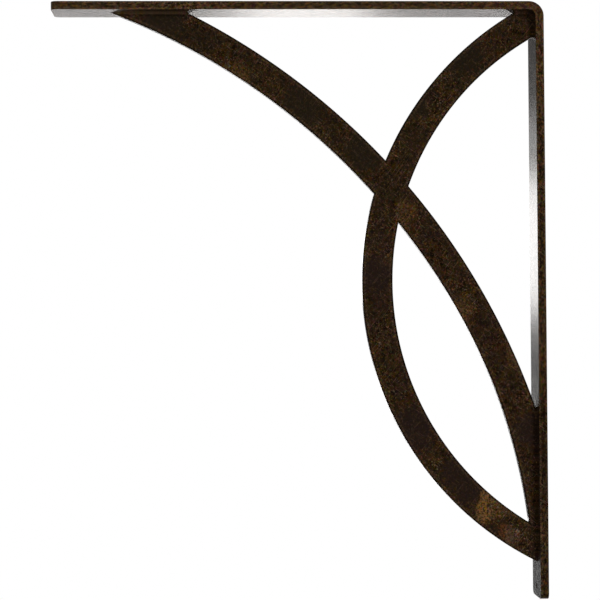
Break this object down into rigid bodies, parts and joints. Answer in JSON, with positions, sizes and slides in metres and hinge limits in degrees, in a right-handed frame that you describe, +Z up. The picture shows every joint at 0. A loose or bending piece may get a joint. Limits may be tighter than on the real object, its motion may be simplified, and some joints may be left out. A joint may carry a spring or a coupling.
{
  "type": "wrought iron shelf bracket",
  "caption": "Bronzed steel wall bracket: a bent flat bar with an upper leg for a shelf or worktop and a back leg for the wall, braced by a plate cut to crossing arcs.",
  "frame": {"origin": "centre of the back leg's rear face, the flat face that goes against the wall", "axes": "+X out of the rear face, into the wall; the upper leg reaches towards -X; +Z up along the back leg; Y across the bar's width"},
  "size_m": [0.3763, 0.0382, 0.4572],
  "materials": {
    "bar_bronze": "rubbed bronze over black on steel, satin, mottled brown with fine scratches",
    "plate_bronze": "rubbed bronze over black on steel, satin, mottled dark brown with ochre rubbed patches and fine scratches"
  },
  "bodies": {
    "root": {"bent_bar_frame": "bar_bronze", "crossed_arc_plate": "plate_bronze"}
  },
  "joints": []
}
